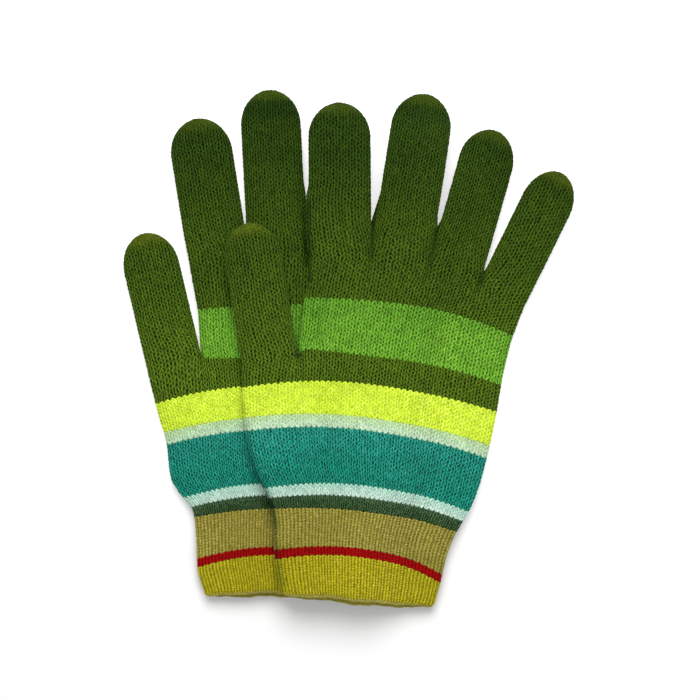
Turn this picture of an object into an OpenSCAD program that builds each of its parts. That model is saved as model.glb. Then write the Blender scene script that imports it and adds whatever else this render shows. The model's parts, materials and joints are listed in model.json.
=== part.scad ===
// A pair of striped knitted gloves, laid flat, one across the other.
// Millimetres. +Z is up, the fingers point to +Y and the thumbs to -X. The origin is on the
// surface that the pair lies on, under the middle of the pair. The lower glove (LOWER) lies on
// that surface, and the upper glove (UPPER) drapes over it. Each glove is a run of yarn bands
// from the cuff to the knuckles, then five knitted tubes, all hollow and joined where a hand
// passes through. A glove's own frame has u across it, v up it, and v = 0 at the cuff's mouth.

/* [Fabric] */
// Thickness of the knitted fabric
wall = 1.6; // [1.2:0.1:1.8]
// Space left between the two gloves where they lie on each other
nap_gap = 0.4; // [0.3:0.1:0.8]
// Space left between two tubes, or between a tube and the hand, where the fabric bends
bend_gap = 0.3; // [0.2:0.1:0.5]

/* [Heights of the laid glove] */
// Height over the cuff
cuff_h = 9.2; // [8:0.2:10]
// Height over the palm
palm_h = 10.4; // [9:0.2:12]
// Height of the finger tubes
finger_h = 9; // [8:0.2:10]
// Height above the surface of the folded side edges
edge_z = 4; // [3.6:0.1:4.4]

/* [Stripes, from the cuff up] */
// Chartreuse hem
hem_len = 18.5; // [14:0.5:20]
// Red line
red_len = 3.5; // [2.5:0.1:4]
// Tan part of the cuff
tan_len = 15.5; // [14:0.5:20]
// Dark green line
dark_green_len = 5.7; // [4:0.1:7]
// Pale mint line
pale_mint_len = 5; // [4:0.1:7]
// Teal stripe
teal_len = 22.8; // [20:0.2:25]
// Grey mint line
grey_mint_len = 5.4; // [4:0.1:7]
// Neon yellow stripe
neon_len = 13.8; // [11:0.2:15]
// Olive stripe that the thumb grows from
thumb_band_len = 11.6; // [10:0.2:13]
// Bright green stripe
bright_green_len = 23.2; // [21:0.2:25]

/* [Widths of the finger tubes] */
// Thumb
thumb_w = 23.4; // [21:0.2:24]
// Index finger
index_w = 25.8; // [23:0.2:26]
// Middle finger
middle_w = 25; // [23:0.2:25]
// Ring finger
ring_w = 23.2; // [21:0.2:23.4]
// Little finger
little_w = 21.6; // [19:0.2:22]
// Length of the rounded end of a tube
tip_len = 15; // [12:0.5:17]

/* [Lay of the pair] */
// Clockwise turn of the upper glove
upper_tilt = 7.5; // [5:0.5:9]
// Clockwise turn of the lower glove
lower_tilt = 0.5; // [-1:0.5:2]
// Distance over which the upper glove falls from the lower one to the surface
fall_len = 24; // [18:1:30]

/* [Hidden] */

LOWER = 0;
UPPER = 1;
THUMB = 0;
INDEX = 1;
MIDDLE = 2;
RING = 3;
LITTLE = 4;

OLIVE = "#4a6b14";
BRIGHT_GREEN = "#5faa32";
NEON = "#dcf532";
GREY_MINT = "#a9cdb8";
TEAL = "#148c73";
PALE_MINT = "#bfe3cf";
DARK_GREEN = "#3a5f3c";
TAN = "#a5963f";
RED = "#a30d1c";
CHARTREUSE = "#b3ae1c";

// Where the middle of each cuff mouth lies, lower glove first, and each glove's turn
CUFF_AT = [[-28.4, -102.8], [4.6, -104.9]];
TURN = [lower_tilt, upper_tilt];

// Heights up the middle of the hand at which the yarn changes: stripe i runs from STRIPE_V[i] to
// STRIPE_V[i + 1]
STRIPE_LEN = [hem_len, red_len, tan_len, dark_green_len, pale_mint_len, teal_len, grey_mint_len,
              neon_len, thumb_band_len, bright_green_len];
function run_to(i) = i == 0 ? 0 : STRIPE_LEN[i - 1] + run_to(i - 1);
STRIPE_V = [for (i = [0:len(STRIPE_LEN)]) run_to(i)];
// Places in that run: the heel of the hand, where the stripe with the thumb starts and ends, and
// the row where the bright green ends; and how far the fork of the fingers lies above that row
HEEL = 3;
THUMB_BAND = 8;
CROTCH_ROW = 9;
KNUCKLE_ROW = 10;
FORK_RISE = 16;
HEEL_V = STRIPE_V[HEEL];
CROTCH_V = STRIPE_V[CROTCH_ROW];
KNUCKLE_V = STRIPE_V[KNUCKLE_ROW];
FORK_V = KNUCKLE_V + FORK_RISE;

// The lower glove lies less stretched: what height v of the pattern becomes on each glove
STRETCH = [
    [[0, 0], [20, 17.7], [HEEL_V, HEEL_V - 0.8], [CROTCH_V, CROTCH_V - 2.2],
     [KNUCKLE_V, KNUCKLE_V - 5.2], [FORK_V, FORK_V - 1]],
    [[0, 0], [FORK_V, FORK_V]],
];

// Side edges of each glove as [v, u]: thumb side below the thumb, index side above it, and the
// little finger side, which both gloves share
THUMB_EDGE = [
    [[0, -32.5], [10, -35.5], [20, -36], [34, -37.5], [42, -43.5], [48, -47], [64, -49.3],
     [74, -52.4], [89, -56.3], [96, -57.8]],
    [[-2, -32.4], [6, -35.4], [14, -37.6], [30, -40.6], [40, -44.9], [48, -50.2], [60, -55.2],
     [70, -57.8], [83, -60.4], [94, -61.9]],
];
INDEX_EDGE = [
    [[100.2, -35], [118, -36.2], [136, -39.4]],
    [[98.4, -39], [121, -39.2], [137.5, -38.8]],
];
LITTLE_EDGE = [[0, 31.5], [11, 33.1], [21, 34], [31, 36.3], [37, 38.8], [47, 42.6], [58, 44.7],
               [73, 46.4], [89, 47.4], [99, 47.7], [114, 49.2], [120, 50.2], [131, 52.9]];

// Rows of stitches bow: how far each end of a row lies below its middle, as [v, drop]
THUMB_DROP = [[0, 2.2], [17, 5.9], [37, 5.6], [48, 6.8], [76, 7], [90, 8.4]];
INDEX_DROP = [[102, 3.4], [125, 2.6]];
LITTLE_DROP = [[0, 0.6], [20, 5.9], [37, 4.6], [48, 6.2], [76, 5.4], [90, 4.8], [102, 5.2],
               [125, 7]];

// Crotch between thumb and palm, and fork between index and middle finger, as [u, v]
CROTCH = [[-35, 100.2], [-39, 98.4]];
FORK = [[-15, 140.4], [-14, 141.2]];

// Digits, thumb first: width where the tube leaves the hand, full width, and on each glove the
// lean (anticlockwise from the glove's own axis), the length and the share of it below the bend
ROOT_W = [thumb_w, 25, 24.4, 22.6, 21.2];
FULL_W = [thumb_w, index_w, middle_w, ring_w, little_w];
LEAN = [[13.8, 9.6, 3.4, -1.8, -17.2], [17, 8, -1.5, -8.3, -18.6]];
LENGTH = [[55.5, 62.5, 71.4, 57, 49], [57.6, 66.4, 73.8, 65, 58.2]];
BEND_AT = [[0.48, 0.36, 0.4, 1, 1], [0.48, 0.48, 0.48, 0.48, 0.48]];

// Distance from the root over which a digit widens to its full width
ROOT_FADE = 20;

// Half height of the upright strip along a folded edge, outside and inside the fabric
EDGE_HALF = 1.5;
EDGE_HALF_IN = 0.3;
// Height over the middle of the hand, as [v, height]
HAND_H = [[0, cuff_h], [HEEL_V, cuff_h + 0.2], [75, palm_h], [CROTCH_V, palm_h],
          [FORK_V, finger_h + 0.6]];
// Share of the half width over which the underside is flat, under the hand and under a tube
FLAT_HAND = 0.93;
FLAT_TUBE = 0.72;
// Roundness of the top: higher is squarer
SQUARE_HAND = 8;
SQUARE_TUBE = 2.6;
// Rise of the palm's middle over its sides
CROWN = 1.4;
// Height of a tube's tip as a share of its full height
TIP_FLAT = 0.5;
// Greatest distance between two sections of a stripe, and of a finger tube
STRIPE_STEP = 8;
TUBE_STEP = 7;
// Places of the sections of the thumb's stripe and of the knuckles, from 0 at the last row below
BAND_T = [0, 0.5, 1];
KNUCKLE_T = [0, 0.35, 0.7, 1];
// Places of the sections round a tip, from 0 where it starts to narrow
ROUND_X = [0, 0.4, 0.7, 0.9, 0.985];

// Places across a tube's half sections, and across the root of one digit
TUBE_Q = [-1, -0.9, -0.62, -0.3, 0, 0.3, 0.62, 0.9, 1];
ROOT_F = [0, 0.12, 0.5, 0.88];
ROOT_SPAN = ROOT_W[INDEX] + ROOT_W[MIDDLE] + ROOT_W[RING] + ROOT_W[LITTLE];
function root_start(k) = k == INDEX ? 0 : root_start(k - 1) + ROOT_W[k - 1] / ROOT_SPAN;
// Places across the hand as shares of its width, above the thumb and below it
HAND_S = concat([for (k = [INDEX:LITTLE]) for (f = ROOT_F) root_start(k) + f * ROOT_W[k] / ROOT_SPAN],
                [1]);
THUMB_SHARE = 0.2;
WHOLE_S = concat([for (f = ROOT_F) f * THUMB_SHARE],
                 [for (s = HAND_S) THUMB_SHARE + (1 - THUMB_SHARE) * s]);

function mix(a, b, t) = a + (b - a) * t;
function mix_list(a, b, t) = [for (i = [0:len(a) - 1]) mix(a[i], b[i], t)];
function clamp(t) = min(1, max(0, t));
function smooth(t) = t * t * (3 - 2 * t);
function flatten(lists) = [for (l = lists) for (p = l) p];
function reversed(l) = [for (i = [len(l) - 1:-1:0]) l[i]];

// Glove frame to pair frame, and back for the lower glove
function to_pair(g, p) = CUFF_AT[g] + [p.x * cos(TURN[g]) + p.y * sin(TURN[g]),
                                       p.y * cos(TURN[g]) - p.x * sin(TURN[g])];
function to_lower(p) = let (d = p - CUFF_AT[LOWER], c = cos(lower_tilt), s = sin(lower_tilt))
    [d.x * c - d.y * s, d.x * s + d.y * c];

// Plan of the hand: the row at pattern height v, at share s of its width
function laid_v(g, v) = lookup(v, STRETCH[g]);
function above_thumb(v) = v >= CROTCH_V;
function left_v(g, v) = above_thumb(v)
    ? (v == CROTCH_V ? CROTCH[g].y : laid_v(g, v) - lookup(v, INDEX_DROP))
    : laid_v(g, v) - lookup(v, THUMB_DROP);
function right_v(g, v) = laid_v(g, v) - lookup(v, LITTLE_DROP);
function row_ends(g, v) = let (l = left_v(g, v), r = right_v(g, v))
    [[lookup(l, above_thumb(v) ? INDEX_EDGE[g] : THUMB_EDGE[g]), l], [lookup(r, LITTLE_EDGE), r]];
function row_point(g, v, s) = let (e = row_ends(g, v), m = laid_v(g, v), x = 2 * s - 1)
    [mix(e[0].x, e[1].x, s), m - x * x * (m - (x < 0 ? e[0].y : e[1].y))];
function row(g, v, shares) = [for (s = shares) row_point(g, v, s)];

// Plan of the digits: right-hand direction, axis, and the ends of the root line in the glove frame
function across(g, k) = [cos(LEAN[g][k]), sin(LEAN[g][k])];
function along(g, k) = [-sin(LEAN[g][k]), cos(LEAN[g][k])];
function root_left(g, k) = k == THUMB ? CROTCH[g] - ROOT_W[k] * across(g, k)
    : k == INDEX ? FORK[g] - ROOT_W[k] * across(g, k) : root_right(g, k - 1);
function root_right(g, k) = root_left(g, k) + ROOT_W[k] * across(g, k);
function root_mid(g, k) = root_left(g, k) + ROOT_W[k] / 2 * across(g, k);
function root_line(g) = concat([for (k = [INDEX:LITTLE]) for (f = ROOT_F)
    root_left(g, k) + f * ROOT_W[k] * across(g, k)], [root_right(g, LITTLE)]);
function thumb_line(g) = [for (f = ROOT_F) root_left(g, THUMB) + f * ROOT_W[THUMB] * across(g, THUMB)];

// How far a point lies outside the lower glove: outside its hand, outside one digit, and the two
// joined smoothly
HAND_EDGE = [[0, -32.5], [34, -37.5], [48, -47], [89, -56.3], [96, -57], [106, -36], [140, -39]];
function hand_gap(p) = max(lookup(p.y, HAND_EDGE) - p.x, p.x - lookup(p.y, LITTLE_EDGE), -p.y,
                           p.y - FORK_V);
function digit_gap(k, p) = let (
    reach = LENGTH[LOWER][k] - FULL_W[k] / 2,
    d = p - root_mid(LOWER, k),
    t = min(reach, max(0, d * along(LOWER, k))))
    norm(d - t * along(LOWER, k)) - FULL_W[k] / 2;
SOFTNESS = 3;
DEEP_INSIDE = -30;
function lower_gap(p) = let (gaps = concat([hand_gap(p)], [for (k = [THUMB:LITTLE]) digit_gap(k, p)]))
    -SOFTNESS * ln([for (d = gaps) exp(-max(d, DEEP_INSIDE) / SOFTNESS)] * [for (d = gaps) 1]);

// Height that a glove's underside rests at
REST_Z = palm_h + nap_gap;
function rest_z(g, p) = g == LOWER ? 0
    : REST_Z * (1 - smooth(clamp((lower_gap(to_lower(p)) - 1) / fall_len)));

// Heights of the fabric's outer or inner face over the underside, at place q of a section
function top_at(q, h, square, inner) = let (
    e = inner ? EDGE_HALF_IN : EDGE_HALF, z = inner ? h - wall : h)
    edge_z + e + (z - edge_z - e) * sqrt(max(0, 1 - pow(abs(q), square)));
function bottom_at(q, flat, inner) = let (
    z = inner ? wall : 0, e = edge_z - (inner ? EDGE_HALF_IN : EDGE_HALF),
    t = max(0, (abs(q) - flat) / (1 - flat)))
    z + (e - z) * (1 - sqrt(1 - t * t));
function hand_h(v) = lookup(v, HAND_H);
function hand_top(q, v, inner) = top_at(q, hand_h(v) - CROWN * q * q, SQUARE_HAND, inner);
function tube_top(q, inner) = top_at(q, finger_h, SQUARE_TUBE, inner);

// One section of a glove: plan points with their two heights become a closed ring of points
function section(g, plan, tops, bottoms) = let (
    pts = [for (p = plan) to_pair(g, p)],
    n = len(pts) - 1)
    concat([for (i = [0:n]) [pts[i].x, pts[i].y, rest_z(g, pts[i]) + tops[i]]],
           [for (i = [n:-1:0]) [pts[i].x, pts[i].y, rest_z(g, pts[i]) + bottoms[i]]]);
function inset(plan, by) = let (n = len(plan) - 1, mid = (plan[0] + plan[n]) / 2,
    k = 1 - 2 * by / norm(plan[n] - plan[0]))
    [for (p = plan) mid + (p - mid) * k];
function hand_section(g, v, shares, inner) = section(g,
    inset(row(g, v, shares), inner ? wall : 0),
    [for (s = shares) hand_top(2 * s - 1, v, inner)],
    [for (s = shares) bottom_at(2 * s - 1, FLAT_HAND, inner)]);

// Heights across the four finger roots, and across the thumb root and palm side by side
ROOT_Q = [for (f = ROOT_F) 2 * f - 1];
function roots_top(inner) = concat([for (k = [INDEX:LITTLE]) for (q = ROOT_Q) tube_top(q, inner)],
                                   [tube_top(1, inner)]);
function roots_bottom(inner) = concat(
    [for (k = [INDEX:LITTLE]) for (q = ROOT_Q) bottom_at(q, FLAT_TUBE, inner)],
    [bottom_at(1, FLAT_TUBE, inner)]);
function thumb_top(inner) = concat([for (q = ROOT_Q) tube_top(q, inner)],
                                   [for (s = HAND_S) hand_top(2 * s - 1, CROTCH_V, inner)]);
function thumb_bottom(inner) = concat([for (q = ROOT_Q) bottom_at(q, FLAT_TUBE, inner)],
                                      [for (s = HAND_S) bottom_at(2 * s - 1, FLAT_HAND, inner)]);

// Sections from a row of the hand to the line where its tubes start, t from 0 to 1
function knuckle_section(g, t, inner) = section(g,
    inset(mix_list(row(g, KNUCKLE_V, HAND_S), root_line(g), t), inner ? wall : 0),
    mix_list([for (s = HAND_S) hand_top(2 * s - 1, KNUCKLE_V, inner)], roots_top(inner), t * t),
    mix_list([for (s = HAND_S) bottom_at(2 * s - 1, FLAT_HAND, inner)], roots_bottom(inner), t * t));
function thumb_band_section(g, t, inner) = section(g,
    inset(mix_list(row(g, STRIPE_V[THUMB_BAND], WHOLE_S),
                   concat(thumb_line(g), row(g, CROTCH_V, HAND_S)), t), inner ? wall : 0),
    mix_list([for (s = WHOLE_S) hand_top(2 * s - 1, STRIPE_V[THUMB_BAND], inner)], thumb_top(inner), t),
    mix_list([for (s = WHOLE_S) bottom_at(2 * s - 1, FLAT_HAND, inner)], thumb_bottom(inner), t));

// A digit's section at distance t from its root, w wide, with its height drawn down towards the tip
function root_narrow(g, k, t) = mix(ROOT_W[k] - 2 * bend_gap, FULL_W[k], smooth(clamp(t / ROOT_FADE)));
function tip_round(k, t, length) = let (x = clamp((t - length + tip_len) / tip_len)) sqrt(1 - x * x);
function digit_section(g, k, t, inner) = let (
    length = LENGTH[g][k] - (inner ? wall : 0),
    r = tip_round(k, t, length),
    half = (root_narrow(g, k, t) / 2 - (inner ? wall : 0)) * r,
    low = 1 - TIP_FLAT,
    squash = 1 - low * (1 - r),
    plan = [for (q = TUBE_Q) root_mid(g, k) + t * along(g, k) + q * half * across(g, k)])
    section(g, plan,
            [for (q = TUBE_Q) edge_z + (tube_top(q, inner) - edge_z) * squash],
            [for (q = TUBE_Q) edge_z + (bottom_at(q, FLAT_TUBE, inner) - edge_z) * squash]);
// Places along a tube: even steps up to the rounded end, then closer ones round it
function even(a, b) = let (n = ceil((b - a) / TUBE_STEP)) [for (i = [0:n]) a + (b - a) * i / n];
function to_tip(a, length) = concat(
    [for (t = even(a, length - tip_len)) if (t < length - tip_len - 1) t],
    [for (x = ROUND_X) length - tip_len + x * tip_len]);

// Faces of a skin of rings, out: seen from outside; and of the flat end between two rings
function skin(n, rings, first, out) = [for (i = [0:rings - 2]) for (j = [0:n - 1]) let (
    a = first + i * n + j, b = first + i * n + (j + 1) % n, c = b + n, d = a + n)
    for (tri = [[a, b, c], [a, c, d]]) out ? reversed(tri) : tri];
function rim(n, a0, b0, out) = [for (j = [0:n - 1]) let (
    a = a0 + j, b = a0 + (j + 1) % n, c = b0 + (j + 1) % n, d = b0 + j)
    for (tri = [[a, b, c], [a, c, d]]) out ? reversed(tri) : tri];
function fan(n, ring, tip, out) = [for (j = [0:n - 1]) let (tri = [ring + j, ring + (j + 1) % n, tip])
    out ? reversed(tri) : tri];
function middle(ring) = [for (axis = [0:2])
    [for (p = ring) p[axis]] * [for (p = ring) 1] / len(ring)];

// Open tube of fabric between its outer and inner rings
module open_tube(outer, inner) {
    n = len(outer[0]);
    m = len(outer);
    polyhedron(flatten(concat(outer, inner)), concat(
        skin(n, m, 0, true), skin(n, m, m * n, false),
        rim(n, 0, m * n, false), rim(n, (m - 1) * n, (2 * m - 1) * n, true)));
}

// Tube of fabric closed at its far end
module closed_tube(outer, inner) {
    n = len(outer[0]);
    mo = len(outer);
    mi = len(inner);
    ends = (mo + mi) * n;
    tips = [middle(outer[mo - 1]), middle(inner[mi - 1])];
    polyhedron(concat(flatten(concat(outer, inner)), tips), concat(
        skin(n, mo, 0, true), skin(n, mi, mo * n, false), rim(n, 0, mo * n, false),
        fan(n, (mo - 1) * n, ends, true), fan(n, (mo + mi - 1) * n, ends + 1, false)));
}

// Stripe i of glove g
module stripe(g, i) {
    a = STRIPE_V[i];
    b = STRIPE_V[i + 1];
    n = ceil((b - a) / STRIPE_STEP);
    rows = [for (j = [0:n]) mix(a, b, j / n)];
    shares = i < THUMB_BAND ? WHOLE_S : HAND_S;
    open_tube([for (v = rows) hand_section(g, v, shares, false)],
              [for (v = rows) hand_section(g, v, shares, true)]);
}
module thumb_band(g) open_tube([for (t = BAND_T) thumb_band_section(g, t, false)],
                               [for (t = BAND_T) thumb_band_section(g, t, true)]);
module knuckles(g) open_tube([for (t = KNUCKLE_T) knuckle_section(g, t, false)],
                             [for (t = KNUCKLE_T) knuckle_section(g, t, true)]);

// The part of a digit below its bend, the part beyond it, and a whole one
module digit_base(g, k) {
    ts = even(bend_gap, BEND_AT[g][k] * LENGTH[g][k]);
    open_tube([for (t = ts) digit_section(g, k, t, false)], [for (t = ts) digit_section(g, k, t, true)]);
}
module digit_from(g, k, start) closed_tube(
    [for (t = to_tip(start, LENGTH[g][k])) digit_section(g, k, t, false)],
    [for (t = to_tip(start, LENGTH[g][k] - wall)) digit_section(g, k, t, true)]);
module digit_tip(g, k) digit_from(g, k, BEND_AT[g][k] * LENGTH[g][k] + bend_gap);
module whole_digit(g, k) digit_from(g, k, bend_gap);

module lower_cuff_hem() { color(CHARTREUSE) stripe(LOWER, 0); }
module lower_red_line() { color(RED) stripe(LOWER, 1); }
module lower_tan_cuff() { color(TAN) stripe(LOWER, 2); }
module lower_dark_green_line() { color(DARK_GREEN) stripe(LOWER, 3); }
module lower_pale_mint_line() { color(PALE_MINT) stripe(LOWER, 4); }
module lower_teal_stripe() { color(TEAL) stripe(LOWER, 5); }
module lower_grey_mint_line() { color(GREY_MINT) stripe(LOWER, 6); }
module lower_neon_stripe() { color(NEON) stripe(LOWER, 7); }
module lower_olive_thumb_band() { color(OLIVE) thumb_band(LOWER); }
module lower_bright_green_stripe() { color(BRIGHT_GREEN) stripe(LOWER, 9); }
module lower_olive_knuckles() { color(OLIVE) knuckles(LOWER); }
module lower_thumb_base() { color(OLIVE) digit_base(LOWER, THUMB); }
module lower_thumb_tip() { color(OLIVE) digit_tip(LOWER, THUMB); }
module lower_index_base() { color(OLIVE) digit_base(LOWER, INDEX); }
module lower_index_tip() { color(OLIVE) digit_tip(LOWER, INDEX); }
module lower_middle_base() { color(OLIVE) digit_base(LOWER, MIDDLE); }
module lower_middle_tip() { color(OLIVE) digit_tip(LOWER, MIDDLE); }
module lower_ring_finger() { color(OLIVE) whole_digit(LOWER, RING); }
module lower_little_finger() { color(OLIVE) whole_digit(LOWER, LITTLE); }

module upper_cuff_hem() { color(CHARTREUSE) stripe(UPPER, 0); }
module upper_red_line() { color(RED) stripe(UPPER, 1); }
module upper_tan_cuff() { color(TAN) stripe(UPPER, 2); }
module upper_dark_green_line() { color(DARK_GREEN) stripe(UPPER, 3); }
module upper_pale_mint_line() { color(PALE_MINT) stripe(UPPER, 4); }
module upper_teal_stripe() { color(TEAL) stripe(UPPER, 5); }
module upper_grey_mint_line() { color(GREY_MINT) stripe(UPPER, 6); }
module upper_neon_stripe() { color(NEON) stripe(UPPER, 7); }
module upper_olive_thumb_band() { color(OLIVE) thumb_band(UPPER); }
module upper_bright_green_stripe() { color(BRIGHT_GREEN) stripe(UPPER, 9); }
module upper_olive_knuckles() { color(OLIVE) knuckles(UPPER); }
module upper_thumb_base() { color(OLIVE) digit_base(UPPER, THUMB); }
module upper_thumb_tip() { color(OLIVE) digit_tip(UPPER, THUMB); }
module upper_index_base() { color(OLIVE) digit_base(UPPER, INDEX); }
module upper_index_tip() { color(OLIVE) digit_tip(UPPER, INDEX); }
module upper_middle_base() { color(OLIVE) digit_base(UPPER, MIDDLE); }
module upper_middle_tip() { color(OLIVE) digit_tip(UPPER, MIDDLE); }
module upper_ring_base() { color(OLIVE) digit_base(UPPER, RING); }
module upper_ring_tip() { color(OLIVE) digit_tip(UPPER, RING); }
module upper_little_base() { color(OLIVE) digit_base(UPPER, LITTLE); }
module upper_little_tip() { color(OLIVE) digit_tip(UPPER, LITTLE); }

lower_cuff_hem();
lower_red_line();
lower_tan_cuff();
lower_dark_green_line();
lower_pale_mint_line();
lower_teal_stripe();
lower_grey_mint_line();
lower_neon_stripe();
lower_olive_thumb_band();
lower_bright_green_stripe();
lower_olive_knuckles();
lower_thumb_base();
lower_thumb_tip();
lower_index_base();
lower_index_tip();
lower_middle_base();
lower_middle_tip();
lower_ring_finger();
lower_little_finger();
upper_cuff_hem();
upper_red_line();
upper_tan_cuff();
upper_dark_green_line();
upper_pale_mint_line();
upper_teal_stripe();
upper_grey_mint_line();
upper_neon_stripe();
upper_olive_thumb_band();
upper_bright_green_stripe();
upper_olive_knuckles();
upper_thumb_base();
upper_thumb_tip();
upper_index_base();
upper_index_tip();
upper_middle_base();
upper_middle_tip();
upper_ring_base();
upper_ring_tip();
upper_little_base();
upper_little_tip();
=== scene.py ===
"""A pair of striped knitted gloves, laid flat, one across the other: the looks of the CAD pair.

Every band of yarn and every finger tube is knitted here as a closed mesh of its own, stitch by
stitch: an outer face with the relief of the stitches, a plain inner face, and the edges between
them. The plan and the sections are the CAD's own, in millimetres, and become metres when a mesh is
made. A glove's own frame has u across it, v up it, and v = 0 at the mouth of its cuff.
"""
import json
import math

import bpy
import numpy as np
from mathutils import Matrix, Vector

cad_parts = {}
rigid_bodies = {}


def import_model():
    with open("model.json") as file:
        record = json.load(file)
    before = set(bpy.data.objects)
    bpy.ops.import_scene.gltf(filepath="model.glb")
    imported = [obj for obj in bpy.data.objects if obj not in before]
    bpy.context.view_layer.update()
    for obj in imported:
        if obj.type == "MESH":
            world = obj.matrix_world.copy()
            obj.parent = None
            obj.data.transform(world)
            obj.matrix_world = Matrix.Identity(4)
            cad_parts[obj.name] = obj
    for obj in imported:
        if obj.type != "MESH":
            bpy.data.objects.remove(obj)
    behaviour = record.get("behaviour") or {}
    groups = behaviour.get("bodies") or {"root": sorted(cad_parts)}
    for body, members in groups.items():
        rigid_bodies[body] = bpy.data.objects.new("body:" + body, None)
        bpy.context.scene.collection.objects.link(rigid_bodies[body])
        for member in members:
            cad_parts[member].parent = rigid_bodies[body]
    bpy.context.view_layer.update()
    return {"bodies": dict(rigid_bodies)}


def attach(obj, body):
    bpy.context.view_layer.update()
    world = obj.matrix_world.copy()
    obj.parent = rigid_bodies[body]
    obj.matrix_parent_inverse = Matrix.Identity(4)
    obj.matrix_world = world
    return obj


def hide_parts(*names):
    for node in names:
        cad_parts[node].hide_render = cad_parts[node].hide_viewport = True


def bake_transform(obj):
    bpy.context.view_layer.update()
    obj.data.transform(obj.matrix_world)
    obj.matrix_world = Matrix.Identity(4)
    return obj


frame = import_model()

MM = 0.001
LOWER, UPPER = 0, 1
GLOVES = ("lower", "upper")
THUMB, INDEX, MIDDLE, RING, LITTLE = range(5)
DIGITS = ("thumb", "index", "middle", "ring", "little")

# ---------------------------------------------------------------- dimensions, as in the CAD (mm)

NAP_GAP = 0.4       # between the lower glove and the upper one lying on it
CUFF_H, PALM_H, FINGER_H, EDGE_Z = 9.2, 10.4, 9.0, 4.0
TIP_LEN = 15.0      # length of a digit's rounded end
# Where the middle of each glove's mouth lies, and how far the glove turns clockwise from straight up
CUFF_AT = np.array([[-28.4, -102.8], [4.6, -104.9]])
TURN = np.radians([0.5, 7.5])
# The upper glove falls to the surface over this length, from this far outside the lower one
FALL_FROM, FALL_LEN = 1.0, 24.0

# The bands of yarn up the hand: name, material slot, length, and rows of stitches
BANDS = (
    ("cuff_hem", "chartreuse_yarn", 18.5, 16), ("red_line", "red_yarn", 3.5, 3),
    ("tan_cuff", "tan_yarn", 15.5, 14), ("dark_green_line", "dark_green_yarn", 5.7, 4),
    ("pale_mint_line", "pale_mint_yarn", 5.0, 3), ("teal_stripe", "teal_yarn", 22.8, 13),
    ("grey_mint_line", "grey_mint_yarn", 5.4, 3), ("neon_stripe", "neon_yarn", 13.8, 8),
    ("olive_thumb_band", "olive_yarn", 11.6, 7), ("bright_green_stripe", "bright_green_yarn", 23.2, 13),
)
RIB_BANDS = 3       # the first ones are ribbed
# Places in BANDS: the first band above the cuff, the one the thumb grows from, the first above its
# crotch, and the knuckles', after the last
HEEL, THUMB_BAND, CROTCH_ROW, KNUCKLE_ROW = 3, 8, 9, 10
STRIPE_V = np.concatenate([[0], np.cumsum([b[2] for b in BANDS])])
STRIPE_C = np.concatenate([[0], np.cumsum([b[3] for b in BANDS])])
HEEL_V, CROTCH_V, KNUCKLE_V = STRIPE_V[HEEL], STRIPE_V[CROTCH_ROW], STRIPE_V[KNUCKLE_ROW]
FORK_V = KNUCKLE_V + 16     # where the fingers part
KNUCKLE_ROWS = 9
COURSE = 1.77       # height of a row of stitches in a digit

# Tables of two columns, each glove's or shared: where the middle of a row of the pattern lies, the
# glove's edges, and how far the row's ends drop below its middle. The edges are the CAD's, but the rows
# lie up to 3 mm from its own, to bring each change of colour to its place
STRETCH = (((0, 0), (20, 17.7), (HEEL_V, HEEL_V - 1.7), (CROTCH_V, CROTCH_V - 2.8),
            (KNUCKLE_V, KNUCKLE_V - 3.3), (FORK_V, FORK_V - 1)),
           ((0, 0), (FORK_V, FORK_V)))
THUMB_EDGE = (
    ((0, -32.5), (10, -35.5), (20, -36), (34, -37.5), (42, -43.5), (48, -47), (64, -49.3),
     (74, -52.4), (89, -56.3), (96, -57.8)),
    ((-2, -32.4), (6, -35.4), (14, -37.6), (30, -40.6), (40, -44.9), (48, -50.2), (60, -55.2),
     (70, -57.8), (83, -60.4), (94, -61.9)))
INDEX_EDGE = (((100.2, -35), (118, -36.2), (136, -39.4)), ((98.4, -39), (121, -39.2), (137.5, -38.8)))
LITTLE_EDGE = ((0, 31.5), (11, 33.1), (21, 34), (31, 36.3), (37, 38.8), (47, 42.6), (58, 44.7),
               (73, 46.4), (89, 47.4), (99, 47.7), (114, 49.2), (120, 50.2), (131, 52.9))
THUMB_DROP = ((0, 2.2), (17, 5.9), (37, 4.2), (48, 6.8), (76, 7), (90, 8.4))
# Above the thumb the first row is nearly straight on the thumb side
INDEX_DROP = (((CROTCH_V, 0.2), (110, 1.8), (125, 2.6)), ((CROTCH_V, 0.3), (110, 1.8), (125, 2.6)))
LITTLE_DROP = ((0, 0.6), (6, 2), (20, 8), (37, 4.6), (48, 6.2), (76, 5.4), (90, 4.8), (102, 5.2), (125, 7))
CROTCH = np.array([[-35, 100.2], [-39, 98.4]])     # beside the thumb
# Beside the crotch the rows dip into it: over this share of the width, and this far up (mm)
CORNER, CORNER_RISE = 0.05, 10.0
FORK = np.array([[-15, 140.4], [-14, 141.2]])       # between index and middle finger
# Each digit's width at its root and further up, its lean to the left, its length, and the share of
# that where it bends
ROOT_W = (23.4, 25.0, 24.4, 22.6, 21.2)
FULL_W = (23.4, 25.8, 25.0, 23.2, 21.6)
LEAN = np.radians([[13.8, 9.6, 3.4, -1.8, -17.2], [17, 8, -1.5, -8.3, -18.6]])
LENGTH = ((55.5, 62.5, 71.4, 57, 49), (57.6, 66.4, 73.8, 65, 58.2))
BEND_AT = ((0.48, 0.36, 0.4, 1, 1), (0.48, 0.48, 0.48, 0.48, 0.48))
ROOT_FADE = 20.0    # a digit's width and columns change over this length from its root
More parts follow.
